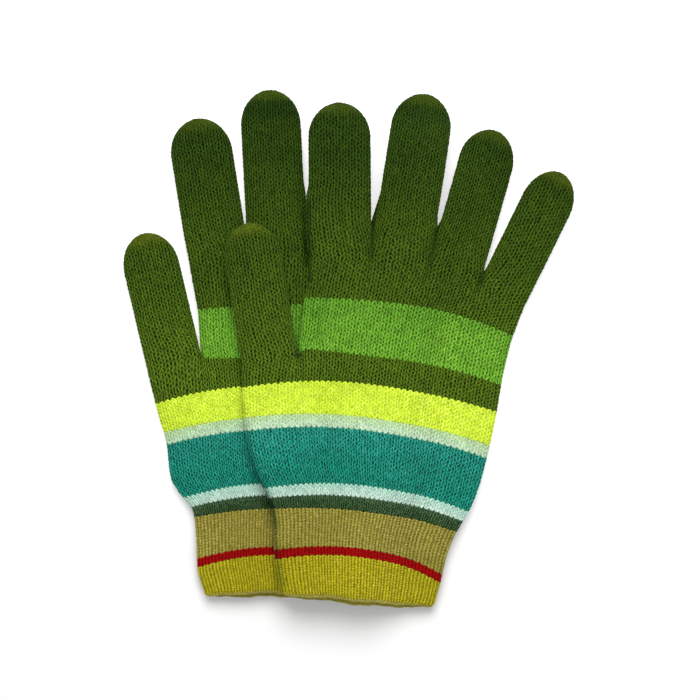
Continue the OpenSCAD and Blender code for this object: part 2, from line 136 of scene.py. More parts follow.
# The sections: half the height of the side edges, the hand's height, the share of the width that is
# flat underneath, the power that squares the top, the crown, and how flat a digit's end is
EDGE_HALF = 1.5
HAND_H = ((0, CUFF_H), (HEEL_V, CUFF_H + 0.2), (75, PALM_H), (CROTCH_V, PALM_H), (FORK_V, FINGER_H + 0.6))
FLAT_HAND, FLAT_TUBE = 0.93, 0.72
SQUARE_HAND, SQUARE_TUBE = 8, 2.6
CROWN = 1.4
TIP_FLAT = 0.5
THUMB_SHARE = 0.2       # of the hand's width, below the crotch

# ---------------------------------------------------------------- the stitches

# Columns of stitches on one face: the thumb's and the four fingers', and those added at each fork
FACE_WALES = (9, 10, 9, 8, 8)
FORK_WALES = 4
PALM_WALES = sum(FACE_WALES[INDEX:])
HAND_WALES = FACE_WALES[THUMB] + PALM_WALES
RIBS = 54       # round the cuff
COLS = 8        # mesh columns in a stitch
ROWS = 6        # mesh rows in a stitch
RIB_ROWS = 4    # the same in the cuff's ribbing
BASE = 2        # rows of the smooth base grid in a stitch
CHEVRON = 0.46  # how far a stitch's arms rise, in stitches
RELIEF = 0.55   # height of the relief (mm), of which PROUD stands over the CAD's face
PROUD = 0.12
LINING = 1.25   # depth of the inner face (mm)


def mix(a, b, t):
    return a + (b - a) * t


def smooth(t):
    t = np.clip(t, 0, 1)
    return t * t * (3 - 2 * t)


def curve(table, x):
    """A smooth curve through the table's points, level where they turn back, straight past its ends."""
    xs, ys = np.array(table, float).T
    if len(xs) < 3:
        return np.interp(x, xs, ys)
    step, rise = np.diff(xs), np.diff(ys) / np.diff(xs)
    same = rise[:-1] * rise[1:] > 0
    weight = (2 * step[1:] + step[:-1]) / np.where(same, rise[:-1], 1) \
        + (step[1:] + 2 * step[:-1]) / np.where(same, rise[1:], 1)
    inner = np.where(same, 3 * (step[1:] + step[:-1]) / np.where(same, weight, 1), 0)
    slope = np.concatenate([rise[:1], inner, rise[-1:]])
    x = np.clip(x, xs[0], xs[-1])
    i = np.clip(np.searchsorted(xs, x, side="right") - 1, 0, len(step) - 1)
    t = (x - xs[i]) / step[i]
    return (ys[i] * (1 + 2 * t) * (1 - t) ** 2 + ys[i + 1] * t * t * (3 - 2 * t)
            + step[i] * (slope[i] * t * (1 - t) ** 2 - slope[i + 1] * t * t * (1 - t)))


# Places across the hand: each digit's share, closer together at its sides
PLACES = 25
ROUND_F = (1 - np.cos(np.linspace(0, math.pi, PLACES))) / 2
ROOT_SPAN = sum(ROOT_W[INDEX:])
ROOT_START = [sum(ROOT_W[INDEX:k]) / ROOT_SPAN for k in range(INDEX, LITTLE + 1)]
HAND_S = np.concatenate([[start + f * ROOT_W[k] / ROOT_SPAN for f in ROUND_F[:-1]]
                         for k, start in zip(range(INDEX, LITTLE + 1), ROOT_START)] + [[1]])
WHOLE_S = np.concatenate([ROUND_F[:-1] * THUMB_SHARE, THUMB_SHARE + (1 - THUMB_SHARE) * HAND_S])
FIRST = len(ROUND_F) - 1    # steps across a digit


def to_pair(g, p):
    """A point of glove g's own frame in the frame of the pair."""
    c, s = math.cos(TURN[g]), math.sin(TURN[g])
    return np.stack([CUFF_AT[g][0] + p[..., 0] * c + p[..., 1] * s,
                     CUFF_AT[g][1] + p[..., 1] * c - p[..., 0] * s], -1)


def to_lower(p):
    """The way back for the lower glove: a point of the pair's frame in the glove's own."""
    c, s = math.cos(TURN[LOWER]), math.sin(TURN[LOWER])
    d = p - CUFF_AT[LOWER]
    return np.stack([d[..., 0] * c - d[..., 1] * s, d[..., 0] * s + d[..., 1] * c], -1)


def row(g, v, shares):
    """A row of stitches across the hand at height v of the pattern: its middle, and its lower ends."""
    m = curve(STRETCH[g], v)
    above = v >= CROTCH_V
    left_v = m - (curve(INDEX_DROP[g], v) if above else curve(THUMB_DROP, v))
    right_v = m - curve(LITTLE_DROP, v)
    left_u = curve(INDEX_EDGE[g] if above else THUMB_EDGE[g], left_v)
    right_u = curve(LITTLE_EDGE, right_v)
    x = 2 * shares - 1
    plan = np.stack([mix(left_u, right_u, shares), m - x * x * (m - np.where(x < 0, left_v, right_v))], -1)
    if above:
        near = np.clip(1 - shares / CORNER, 0, 1) ** 2 * (1 - smooth((v - CROTCH_V) / CORNER_RISE))
        plan += near[:, None] * (CROTCH[g] - (left_u, left_v))
    return plan


def across(g, k):
    """Unit vector to a digit's right."""
    return np.array([math.cos(LEAN[g][k]), math.sin(LEAN[g][k])])


def along(g, k):
    """Unit vector from a digit's root to its end."""
    return np.array([-math.sin(LEAN[g][k]), math.cos(LEAN[g][k])])


def root_left(g, k):
    """The left end of a digit's root."""
    if k == THUMB:
        return CROTCH[g] - ROOT_W[k] * across(g, k)
    if k == INDEX:
        return FORK[g] - ROOT_W[k] * across(g, k)
    return root_left(g, k - 1) + ROOT_W[k - 1] * across(g, k - 1)


def root_at(g, k, share):
    """Points across a digit's root, at these shares of its width."""
    return root_left(g, k) + np.multiply.outer(share, ROOT_W[k] * across(g, k))


# The lower glove's left edge, and how softly the distances to its parts are joined
HAND_EDGE = ((0, -32.5), (34, -37.5), (48, -47), (89, -56.3), (96, -57), (106, -36), (140, -39))
SOFTNESS = 3.0
DEEP_INSIDE = -30.0


def lower_gap(p):
    """How far points of the lower glove's own frame lie outside it."""
    u, v = p[..., 0], p[..., 1]
    left = np.interp(v, *np.array(HAND_EDGE).T)
    right = np.interp(v, *np.array(LITTLE_EDGE).T)
    gaps = [np.maximum.reduce([left - u, u - right, -v, v - FORK_V])]
    for k in range(5):
        d = p - root_at(LOWER, k, 0.5)
        reach = LENGTH[LOWER][k] - FULL_W[k] / 2
        t = np.clip(d @ along(LOWER, k), 0, reach)
        gaps.append(np.linalg.norm(d - t[..., None] * along(LOWER, k), axis=-1) - FULL_W[k] / 2)
    return -SOFTNESS * np.log(sum(np.exp(-np.maximum(gap, DEEP_INSIDE) / SOFTNESS) for gap in gaps))


def rest_z(g, p):
    """How high the underside of glove g rests at points of the pair's frame."""
    if g == LOWER:
        return np.zeros(p.shape[:-1])
    return (PALM_H + NAP_GAP) * (1 - smooth((lower_gap(to_lower(p)) - FALL_FROM) / FALL_LEN))


def top_at(q, h, square):
    """Height of a section's top, at q from -1 to 1 across it."""
    return EDGE_Z + EDGE_HALF + (h - EDGE_Z - EDGE_HALF) * np.sqrt(np.clip(1 - np.abs(q) ** square, 0, 1))


def bottom_at(q, flat):
    """Height of a section's underside."""
    t = np.clip((np.abs(q) - flat) / (1 - flat), 0, 1)
    return (EDGE_Z - EDGE_HALF) * (1 - np.sqrt(1 - t * t))


def hand_top(s, v):
    q = 2 * s - 1
    return top_at(q, np.interp(v, *np.array(HAND_H).T) - CROWN * q * q, SQUARE_HAND)


def ring(g, plan, top, bottom):
    """A section of a glove as a closed line: from the left edge over the top and back underneath."""
    xy = to_pair(g, plan)
    z = rest_z(g, xy)
    upper = np.column_stack([xy, z + top])
    lower = np.column_stack([xy, z + bottom])[::-1]
    left, right = (upper[0] + lower[-1]) / 2, (upper[-1] + lower[0]) / 2
    return np.vstack([left, upper, right, lower, left])


def spread(line, stops):
    """Mesh columns along a ring, even between its stops: pairs of a column of stitches and a place."""
    length = np.concatenate([[0], np.cumsum(np.linalg.norm(np.diff(line, axis=0), axis=1))])
    wales, places = np.array(stops, float).T
    at = np.interp(places, np.arange(len(line)), length)
    want = np.interp(np.arange(0, wales[-1] * COLS) / COLS, wales, at)
    return np.stack([np.interp(want, length, line[:, i]) for i in range(3)], -1)


def face_stops(widths, joins, n):
    """Stops of a ring of n points a face, where digits of these widths in stitches meet at joins."""
    face = np.concatenate([[0], np.cumsum(widths)])
    top = [0] + [1 + j for j in joins] + [n + 1]
    total = face[-1]
    back = [(2 * total - w, 2 * n + 2 - p) for w, p in zip(face[-2::-1], top[-2::-1])]
    return list(zip(face, top)) + back


WHOLE_STOPS = face_stops(FACE_WALES, [FIRST * i for i in range(1, 5)], len(WHOLE_S))
PALM_STOPS = face_stops(FACE_WALES[INDEX:], [FIRST * i for i in range(1, 4)], len(HAND_S))
# At the thumb's crotch the palm's columns start where the hand's do, at its top and bottom edges, and
# over so many rows of the base grid they come to meet at its side
CROTCH_STOPS = [(0, 1)] + PALM_STOPS[1:-1] + [(2 * PALM_WALES, 2 * len(HAND_S) + 1)]
CROTCH_STEPS = 12
ROOT_Q = 2 * ROUND_F - 1
TUBE_TOP = top_at(ROOT_Q, FINGER_H, SQUARE_TUBE)
TUBE_BOTTOM = bottom_at(ROOT_Q, FLAT_TUBE)

# The mouth of a cuff (mm): the back lip stands out a little under the front one
LIP, LIP_FADE = 1.9, 9.0
# Its edge is uneven, its front rolls under and its corners are rounded
WAVES = ((0.28, 3.0, 0.4), (0.10, 9.0, 1.9))   # height, waves across the cuff, and phase
WAVE_SHIFT = 2          # of the upper glove's phase
WAVE_FADE = 6.0
ROLL, ROLL_LEN = 1.5, 3.0
CORNER_R = 2.6


def hand_ring(g, v):
    plan = row(g, v, WHOLE_S)
    top = hand_top(WHOLE_S, v)
    bottom = bottom_at(2 * WHOLE_S - 1, FLAT_HAND)
    if v < WAVE_FADE:
        waves = sum(h * np.sin(n * 2 * math.pi * WHOLE_S + phase + WAVE_SHIFT * g) for h, n, phase in WAVES)
        plan[:, 1] += waves * (1 - smooth(v / WAVE_FADE))
        inset = CORNER_R * (1 - math.sqrt(1 - (1 - min(v / CORNER_R, 1)) ** 2))
        plan[:, 0] -= inset * (2 * WHOLE_S - 1)
        top = top - ROLL * (1 - min(v / ROLL_LEN, 1)) ** 2
    line = ring(g, plan, top, bottom)
    lip = LIP * (1 - smooth(v / LIP_FADE))
    under = np.zeros(len(line))
    under[len(WHOLE_S) + 2:-1] = np.sin(math.pi * np.linspace(0, 1, len(WHOLE_S))) ** 0.5
    line[:, :2] -= lip * under[:, None] * np.array([math.sin(TURN[g]), math.cos(TURN[g])])
    return line


# How late the hand's section turns into the digits' own, below the thumb and below the fingers
THUMB_EASE, FINGER_EASE = 1.5, 2


def thumb_band_ring(g, t):
    """From the top of the neon stripe, t = 0, to the thumb's root and the row beside it, t = 1."""
    v = STRIPE_V[THUMB_BAND]
    end = np.vstack([root_at(g, THUMB, ROUND_F[:-1]), row(g, CROTCH_V, HAND_S)])
    top = np.concatenate([TUBE_TOP[:-1], hand_top(HAND_S, CROTCH_V)])
    bottom = np.concatenate([TUBE_BOTTOM[:-1], bottom_at(2 * HAND_S - 1, FLAT_HAND)])
    late = t ** THUMB_EASE
    return ring(g, mix(row(g, v, WHOLE_S), end, t), mix(hand_top(WHOLE_S, v), top, late),
                mix(bottom_at(2 * WHOLE_S - 1, FLAT_HAND), bottom, late))


# The upper palm's edge beside the thumb is turned under along a groove: where it is and its half width,
# as shares of the palm's, its depth and the edge's (mm), and how far up it runs, starts and fades
GROOVE_S, GROOVE_HALF, GROOVE, TURNED_EDGE = 0.07, 0.022, 1.7, 0.85
GROOVE_LEN, GROOVE_START, GROOVE_FADE = 22.0, 5.0, 8.0


def groove(s, v):
    turned = GROOVE * np.exp(-((s - GROOVE_S) / GROOVE_HALF) ** 2) + TURNED_EDGE * (s < GROOVE_S)
    up = v - CROTCH_V
    return turned * smooth(up / GROOVE_START) * (1 - smooth((up - GROOVE_LEN + GROOVE_FADE) / GROOVE_FADE))


def palm_ring(g, v):
    top = hand_top(HAND_S, v)
    if g == UPPER:
        top = top - groove(HAND_S, v)
    return ring(g, row(g, v, HAND_S), top, bottom_at(2 * HAND_S - 1, FLAT_HAND))


def knuckle_ring(g, t):
    """From the top of the bright green stripe, t = 0, to the roots of the fingers, t = 1."""
    fingers = range(INDEX, LITTLE + 1)
    end = np.vstack([root_at(g, k, ROUND_F[:-1]) for k in fingers] + [root_at(g, LITTLE, np.ones(1))])
    top = np.concatenate([TUBE_TOP[:-1]] * 4 + [TUBE_TOP[-1:]])
    bottom = np.concatenate([TUBE_BOTTOM[:-1]] * 4 + [TUBE_BOTTOM[-1:]])
    late = t ** FINGER_EASE
    return ring(g, mix(row(g, KNUCKLE_V, HAND_S), end, t), mix(hand_top(HAND_S, KNUCKLE_V), top, late),
                mix(bottom_at(2 * HAND_S - 1, FLAT_HAND), bottom, late))


def tip_round(t, length):
    x = np.clip((t - length + TIP_LEN) / TIP_LEN, 0, 1)
    return math.sqrt(1 - x * x)


# How far up from its fork each gap between fingers stays closed, from the index finger's inner side
CLOSED = ((4, 4, 4), (10, 17, 4))
CLOSED_FADE = 6.0
NEIGHBOUR_GAP = -0.1    # between closed fingers: their nap meshes a little
# The lower middle finger and the upper index finger press on each other: extra half width (mm) on
# the left and the right, and how far up it goes
SWELL = {(LOWER, MIDDLE): (0, 0.6), (UPPER, INDEX): (1.25, 0)}
SWELL_TO, SWELL_FADE = 26.0, 7.0


def half_widths(g, k, t):
    """A digit's half widths left and right of its middle line, where the next finger may touch it."""
    half = mix(ROOT_W[k], FULL_W[k], smooth(t / ROOT_FADE)) / 2
    sides = [half, half]
    for side, other in ((0, k - 1), (1, k + 1)):
        if k < INDEX or not INDEX <= other <= LITTLE:
            continue
        touch = ROOT_W[k] / 2 + t * math.tan(abs(LEAN[g][k] - LEAN[g][other]) / 2) - NEIGHBOUR_GAP
        near = 1 - smooth((t - CLOSED[g][min(k, other) - INDEX]) / CLOSED_FADE)
        sides[side] = mix(half, max(touch, half), near)
    pressed = smooth(t / SWELL_FADE) * (1 - smooth((t - SWELL_TO) / SWELL_FADE))
    return [side + extra * pressed for side, extra in zip(sides, SWELL.get((g, k), (0, 0)))]


def digit_ring(g, k, t):
    r = tip_round(t, LENGTH[g][k])
    left, right = half_widths(g, k, t)
    squash = 1 - (1 - TIP_FLAT) * (1 - r)
    plan = root_at(g, k, 0.5) + t * along(g, k) \
        + np.multiply.outer(ROOT_Q * np.where(ROOT_Q < 0, left, right) * r, across(g, k))
    return ring(g, plan, EDGE_Z + (TUBE_TOP - EDGE_Z) * squash, EDGE_Z + (TUBE_BOTTOM - EDGE_Z) * squash)


def fork_sides(k):
    """Whether a digit has a fork on its left and on its right."""
    return k > INDEX, k < LITTLE


def digit_wales(k):
    return 2 * FACE_WALES[k] + FORK_WALES * sum(fork_sides(k))


def digit_columns(g, k, t):
    """A digit's columns: at the root they follow the hand's, and further up they are even."""
    n, face = len(ROUND_F), FACE_WALES[k]
    left, right = (FORK_WALES / 2 * side for side in fork_sides(k))
    total = digit_wales(k)
    line = digit_ring(g, k, t)
    start = [(0, 0)] + [(left, 1)] * bool(left)
    middle = left + face + right
    right_side = [(left + face, n), (middle, n + 1), (middle + right, n + 2)] if right else [(middle, n + 1)]
    end = [(total - left, 2 * n + 1)] * bool(left) + [(total, 2 * n + 2)]
    even = spread(line, [(0, 0), (middle, n + 1), (total, 2 * n + 2)])
    w = smooth(t / ROOT_FADE)
    return even if w == 1 else mix(spread(line, start + right_side + end), even, w)


# ---------------------------------------------------------------- smooth base grids, by course

# A digit's rows: even up to its rounded end, then even round it, to a small ring that a fan closes.
# The angles are where the outer and the inner face end
LAST_ANGLE = math.radians(88)
INNER_ANGLE = math.radians(78)
TIP_COURSES = 12
CAP, CAP_FADE = 8.0, 7.0    # the closed end is felted, more and more over this length


def body_courses(g, k):
    return round((LENGTH[g][k] - TIP_LEN) / COURSE)


def digit_t(g, k, c):
    """Distance from the root of a digit at course c, which needn't be whole."""
    n, start = body_courses(g, k), LENGTH[g][k] - TIP_LEN
    angle = np.clip((c - n) / TIP_COURSES, 0, 1) * LAST_ANGLE
    return np.where(c <= n, c * start / n, start + TIP_LEN * np.sin(angle))


def base_grids(g):
    """The smooth rows of glove g's hand, palm and digits, each with one more row at either end."""
    steps = np.arange(STRIPE_C[THUMB_BAND] * BASE + 1) / BASE
    hand = [spread(hand_ring(g, v), WHOLE_STOPS) for v in np.interp(steps, STRIPE_C, STRIPE_V)]
    band_steps = BANDS[THUMB_BAND][3] * BASE
    hand += [spread(thumb_band_ring(g, (i + 1) / band_steps), WHOLE_STOPS) for i in range(band_steps)]
    green_steps = BANDS[CROTCH_ROW][3] * BASE
    palm = []
    for i in range(green_steps):
        line = palm_ring(g, mix(CROTCH_V, KNUCKLE_V, i / green_steps))
        palm.append(mix(spread(line, CROTCH_STOPS), spread(line, PALM_STOPS), smooth(i / CROTCH_STEPS)))
    knuckle_steps = KNUCKLE_ROWS * BASE
    palm += [spread(knuckle_ring(g, i / knuckle_steps), PALM_STOPS) for i in range(knuckle_steps + 1)]
    digits = []
    for k in range(5):
        rows = (body_courses(g, k) + TIP_COURSES) * BASE
        digits.append([digit_columns(g, k, float(digit_t(g, k, i / BASE))) for i in range(rows + 1)])

    def faces(k):
        """The columns of a digit's top and underside that run on from the hand's."""
        left, right = (FORK_WALES // 2 * side for side in fork_sides(k))
        top, wide = left * COLS, FACE_WALES[k] * COLS
        low = top + wide + 2 * right * COLS
        return slice(top, top + wide), slice(low, low + wide)

    # Each grid goes one row on into its neighbours, so that its zigzag edges follow the fabric
    above_hand = np.vstack([digits[THUMB][1][faces(THUMB)[0]], palm[1], digits[THUMB][1][faces(THUMB)[1]]])
    fingers = range(INDEX, LITTLE + 1)
    above_palm = np.vstack([digits[k][1][faces(k)[0]] for k in fingers]
                           + [digits[k][1][faces(k)[1]] for k in reversed(fingers)])
    thumb_cols = FACE_WALES[THUMB] * COLS
    below_palm = hand[-2][thumb_cols:-thumb_cols]
    hand_ends = [hand[-2][:thumb_cols], hand[-2][-thumb_cols:]]
    palm_at = 0
    under = {THUMB: hand_ends}
    for k in fingers:
        wide = FACE_WALES[k] * COLS
        under[k] = [palm[-2][palm_at:palm_at + wide], palm[-2][len(palm[-2]) - palm_at - wide:][:wide]]
        palm_at += wide
    grids = {"hand": [hand[0]] + hand + [above_hand], "palm": [below_palm] + palm + [above_palm]}
    for k in range(5):
        below = digits[k][0].copy()
        for part, rows in zip(faces(k), under[k]):
            below[part] = rows
        grids[DIGITS[k]] = [below] + digits[k] + [digits[k][-1]]
    return {name: np.array(grid) for name, grid in grids.items()}


def normals(grid):
    """Unit normals of a grid of rows that close round."""
    round_way = np.roll(grid, -1, axis=1) - np.roll(grid, 1, axis=1)
    up_way = np.gradient(grid, axis=0)
    n = np.cross(round_way, up_way)
    return n / np.maximum(np.linalg.norm(n, axis=-1, keepdims=True), 1e-9)


# ---------------------------------------------------------------- relief of the stitches

UNEVEN_SIZE = (251, 241)
UNEVEN = np.random.default_rng(7).uniform(-1, 1, UNEVEN_SIZE)
# Added to a place's column and row of stitches, so that the numbers are positive
FIRST_WALE, FIRST_COURSE = 5, 40


def uneven(wale, course, shift):
    """A fixed random number for each stitch, from -1 to 1."""
    wide, tall = UNEVEN_SIZE
    return UNEVEN[np.mod(wale.astype(int) + shift, wide), np.mod(course.astype(int) + 3 * shift, tall)]


def drift(wale, course, shift):
    """A random number that changes smoothly from stitch to stitch, from -1 to 1."""
    i, j = np.floor(wale), np.floor(course)
    x, y = smooth(wale - i), smooth(course - j)
    return mix(mix(uneven(i, j, shift), uneven(i + 1, j, shift), x),
               mix(uneven(i, j + 1, shift), uneven(i + 1, j + 1, shift), x), y)


# An arm of a stitch, in stitches: its half width and half height, how far its ends lean apart, and
# the power that squares its ends
PLAIN_ARM = (0.195, 0.57, 0.20, 2.4)
# Ribbing: the purl column hides between the arms of the raised one, which stand up as lines of beads
RIB_ARM = (0.20, 0.54, 0.07, 2.2)
RIB_SHARE = 0.96    # of a rib's pitch that its raised column takes
RIB_FLOOR = 0.12    # height of the purl column


def arm(d, u, shape):
    """Height squared of one arm of a stitch, at distance d from its middle and height u in it."""
    half, tall, lean, power = shape
    return 1 - ((d - 0.25 - lean * (u - 0.5)) / half) ** 2 - np.abs((u - 0.5) / tall) ** power


def plain_relief(a, f):
    """Plain knitting: place a across the stitch and sheared height f give the height, 0 to 1."""
    u, d = f % 1, np.abs(a - 0.5)
    arms = [arm(side, u + step, PLAIN_ARM) for side in (d, -d, 1 - d) for step in (-1, 0, 1)]
    return np.sqrt(np.clip(np.maximum.reduce(arms), 0, 1))


def rib_place(wale):
    """Place across a rib's raised column, 0 to 1, a little past them in the purl column."""
    return ((wale * RIBS / HAND_WALES / 2) % 1 - 0.5) / RIB_SHARE + 0.5


def rib_relief(a, f):
    """Ribbing, in the same way, with place a across the raised column."""
    u, d = f % 1, np.abs(a - 0.5)
    beads = [arm(d, v, RIB_ARM) for v in (u - 1, u, u + 1)]
    return RIB_FLOOR + (1 - RIB_FLOOR) * np.sqrt(np.clip(np.maximum.reduce(beads), 0, 1))


# The pair is darker towards its fingertips: brightness against distance up the pair (mm)
SHADE_UP = ((-7, 1), (8, 0.92), (21, 0.79), (33, 0.69), (46, 0.66), (58, 0.59), (71, 0.50), (83, 0.43),
            (96, 0.41))
# How much darker still just below a fingertip's felted end, and where from the end that starts, is
# full, starts to fade and is gone (mm)
TIP_SHADE = {(LOWER, MIDDLE): 0.34, (UPPER, MIDDLE): 0.16}
OTHER_TIPS = 0.08
TIP_SHADE_AT = (3.5, 6.5, 8.0, 16.0)

# Painted shade: where fabric presses on fabric, the crease between is painted darker for the shade that
# falls in it: by how much up the upper glove's left edge, at each height (mm), then at the crotch beside
# each thumb, at the forks, and where the upper index finger presses on the lower middle one; and their half
# widths
EDGE_CREASE = ((0, 0.34), (22, 0.48), (28, 0.88), (34, 0.96), (39, 0.75), (46, 0.45), (60, 0.34), (76, 0.1))
CROTCH_CREASE, FORK_CREASE, FORK_CREASE_START, PRESSED_CREASE = (0.35, 0.75), 0.6, 0.1, 0.5
EDGE_WIDE, CROTCH_WIDE, FORK_WIDE, PRESSED_WIDE = 1.9, 1.3, 0.9, 1.2
# How far up from the crotch one reaches, how far below a fork and past its closed gap one does, and
# how far below and above the index finger's root the pressed one does
CROTCH_REACH, FORK_REACH, PRESSED_REACH = 5, (3, 3), (8, 24)


def shaded_crease_lines(g):
    """The creases on the upper side of glove g where shade is painted: start, end, how dark at both, and
    half width.
    """
    def line(start, end, dark_start, dark_end, wide):
        return (*to_pair(g, np.array([start, end])), dark_start, dark_end, wide)

    beside = CROTCH[g] + 0.5 * across(g, THUMB)
    lines = [line(beside, beside + CROTCH_REACH * along(g, THUMB), CROTCH_CREASE[g], 0, CROTCH_WIDE)]
    below, above = FORK_REACH
    for k in (MIDDLE, RING, LITTLE):
        closed = CLOSED[g][k - 1 - INDEX] + above
        way = (along(g, k) + along(g, k - 1)) / 2
        lines.append(line(root_left(g, k) - below * way, root_left(g, k) + closed * way, FORK_CREASE_START,
                          FORK_CREASE, FORK_WIDE))
    if g == LOWER:
        return lines
    v, dark = np.array(EDGE_CREASE).T
    edge = np.column_stack([curve(THUMB_EDGE[g], v), v])
    side = root_left(g, INDEX) - 0.6 * across(g, INDEX)
    below, above = PRESSED_REACH
    lines.append(line(side - below * along(g, INDEX), side + above * along(g, INDEX), PRESSED_CREASE,
                      PRESSED_CREASE, PRESSED_WIDE))
    return lines + [line(*ends, EDGE_WIDE) for ends in zip(edge, edge[1:], dark, dark[1:])]


def painted_crease_shade(g, p):
    """How bright the painted shade of the creases leaves the fabric at points p of the plan."""
    bright = np.ones(p.shape[:-1])
    for start, end, dark_start, dark_end, wide in shaded_crease_lines(g):
        t = np.clip((p - start) @ (end - start) / np.sum((end - start) ** 2), 0, 1)
        gap = np.linalg.norm(p - start - t[..., None] * (end - start), axis=-1)
        bright = np.minimum(bright, 1 - mix(dark_start, dark_end, t) * np.exp(-(gap / wide) ** 2))
    return bright


# The hand-made look: how far arms wander sideways and up, in stitches, how much their heights differ,
# the nap that fills some gaps, and the fuzz on everything. In ribbing, arms wander less
WANDER, WANDER_UP, RIB_STEADY = 0.13, 0.16, 0.6
ARM_DIFFERENCE, NAP_FLOOR, NAP_RISE = 0.20, 0.06, 0.30
FUZZ, FUZZ_RISE, FUZZ_SHARE = 0.55, 0.3, 0.22
FELT_FUZZ = 0.6                                 # how much of the relief felting turns into fuzz
MOUTH_FELT, MOUTH_FELT_FROM, MOUTH_FELT_LEN = 0.85, 0.2, 1.2   # and the last two in rows of stitches
EVEN_ROWS = 2       # a colour's zigzag edge evens out over so many rows, at a mouth or a digit's end


def knit(g, grid, c0, c1, seed, per=ROWS, rib=False, mouth=False, digit=None):
    """Rows of mesh points and their stitch values for courses c0 to c1 of a base grid."""
    cols = grid.shape[1]
    normal = normals(grid)
    tip = digit is not None and c1 == body_courses(g, digit) + TIP_COURSES
    column = np.arange(cols)[None, :]
    place_across = np.clip(rib_place(column / COLS), 0, 1) if rib else (column / COLS) % 1
    sheared = CHEVRON * (np.abs(2 * place_across - 1) - 0.5)

    def surface(c):
        """Base points, normals and true courses where the mesh rows c lie."""
        c = c[:, None]
        amount = np.ones_like(c)
        if mouth:
            amount = smooth(c / EVEN_ROWS)
        if tip:
            amount = amount * (1 - smooth((c - c1 + TIP_COURSES) / EVEN_ROWS))
        at = c + sheared * amount
        place = np.clip(1 + at * BASE, 0, len(grid) - 1.001)
        i = place.astype(int)
        w = (place - i)[..., None]
        return (mix(grid[i, column], grid[i + 1, column], w),
                mix(normal[i, column], normal[i + 1, column], w), at)

    c = np.linspace(c0, c1, (c1 - c0) * per + 1)
    point, out, at = surface(c)
    wale = np.broadcast_to(column / COLS, at.shape).copy()
    course = at.copy()
    felt = np.zeros_like(at)
    if digit is not None:
        t = digit_t(g, digit, at)
        course = t / (LENGTH[g][digit] - TIP_LEN) * body_courses(g, digit)
        if tip:
            x = np.clip((t - LENGTH[g][digit] + TIP_LEN) / TIP_LEN, 0, 1)
            narrow = np.sqrt(1 - np.minimum(x, 0.999) ** 2)
            left, right = (FORK_WALES / 2 * side for side in fork_sides(digit))
            middle = left + FACE_WALES[digit] + right
            centre = np.where(wale < middle, middle / 2, (middle + digit_wales(digit)) / 2)
            wale = centre + (wale - centre) * narrow
            felt = smooth((t - LENGTH[g][digit] + CAP) / CAP_FADE)
    if mouth:
        felt = MOUTH_FELT * (1 - smooth((at - MOUTH_FELT_FROM) / MOUTH_FELT_LEN))

    loose = 1 - RIB_STEADY * rib
    wander = WANDER * loose * drift(wale * 1.3 + FIRST_WALE, course * 0.9 + FIRST_COURSE, 31)
    lift = WANDER_UP * loose * drift(wale * 0.9 + FIRST_WALE, course * 1.2 + FIRST_COURSE, 57)
    shear = np.broadcast_to(sheared, at.shape) if rib else CHEVRON * (np.abs(2 * (wale % 1) - 1) - 0.5)
    stitch_c = course - shear + FIRST_COURSE
    if rib:
        height = rib_relief(rib_place(wale + wander), stitch_c + lift)
    else:
        height = plain_relief((wale + wander + FIRST_WALE) % 1, stitch_c + lift)
    tone = uneven(wale + FIRST_WALE, stitch_c, seed)
    height = height * (1 + ARM_DIFFERENCE * uneven(2 * wale + FIRST_WALE, stitch_c, seed + 17))
    nap = drift(wale * 2 + FIRST_WALE, course * 1.6 + FIRST_COURSE, 83)
    height = np.maximum(height, NAP_FLOOR + NAP_RISE * nap)
    fuzz = FUZZ + FUZZ_RISE * uneven(wale * 4 + FIRST_WALE, course * 4 + FIRST_COURSE, seed)
    height = mix(height, np.clip(height + fuzz - 0.5, 0, 1), FUZZ_SHARE)
    raised = mix(height, fuzz, felt * FELT_FUZZ)
    outer = point + out * (RELIEF * (raised - 1) + PROUD)[..., None]

    stop = c1 - (TIP_COURSES * (1 - INNER_ANGLE / LAST_ANGLE) if tip else 0)
    inner_point, inner_out, inner_at = surface(np.linspace(c0, stop, c1 - c0 + 1))
    inner = inner_point - inner_out * LINING
    # Painted shade: on the faces that look up, the creases are painted darker, on top of the pair's
    # darkening towards its fingertips
    facing_up = smooth(3 * out[..., 2] + 0.5)
    shade = curve(SHADE_UP, outer[..., 1]) * mix(1, painted_crease_shade(g, outer[..., :2]), facing_up)
    if tip:
        from_end = LENGTH[g][digit] - t
        start, full, fade, gone = TIP_SHADE_AT
        zone = smooth((from_end - start) / (full - start)) * (1 - smooth((from_end - fade) / (gone - fade)))
        shade = shade * (1 - TIP_SHADE.get((g, digit), OTHER_TIPS) * zone)
    up = np.clip((at - c0) / (c1 - c0), 0, 1)
    return {"outer": outer, "inner": inner, "wale": wale, "course": course, "loop": np.clip(height, 0, 1),
            "tone": tone, "felt": felt, "shade": shade, "up": up, "inner_at": inner_at, "closed": tip,
            "mouth": mouth, "seed": seed}


LIP_ROWS = 4        # round the edge of a mouth


def lip_rows(outer, inner):
    """Rows that roll from the inner face over to the outer one at the mouth of a cuff."""
    middle, half = (outer[0] + inner[0]) / 2, (outer[0] - inner[0]) / 2
    back = outer[0] - outer[2]
    back /= np.linalg.norm(back, axis=-1, keepdims=True)
    radius = np.linalg.norm(half, axis=-1, keepdims=True)
    angles = np.linspace(0, math.pi, LIP_ROWS + 2)[1:-1]
    return np.array([middle - half * math.cos(x) + back * radius * math.sin(x) for x in angles])


# What the stitch values are on the inner face, and on the edge of a mouth
INSIDE = {"loop": 0.6, "tone": 0, "felt": 0.3, "shade": 0.85, "up": 0.5}
ON_LIP = {"loop": 0.7, "tone": 0, "felt": 1, "shade": 1, "up": 0}


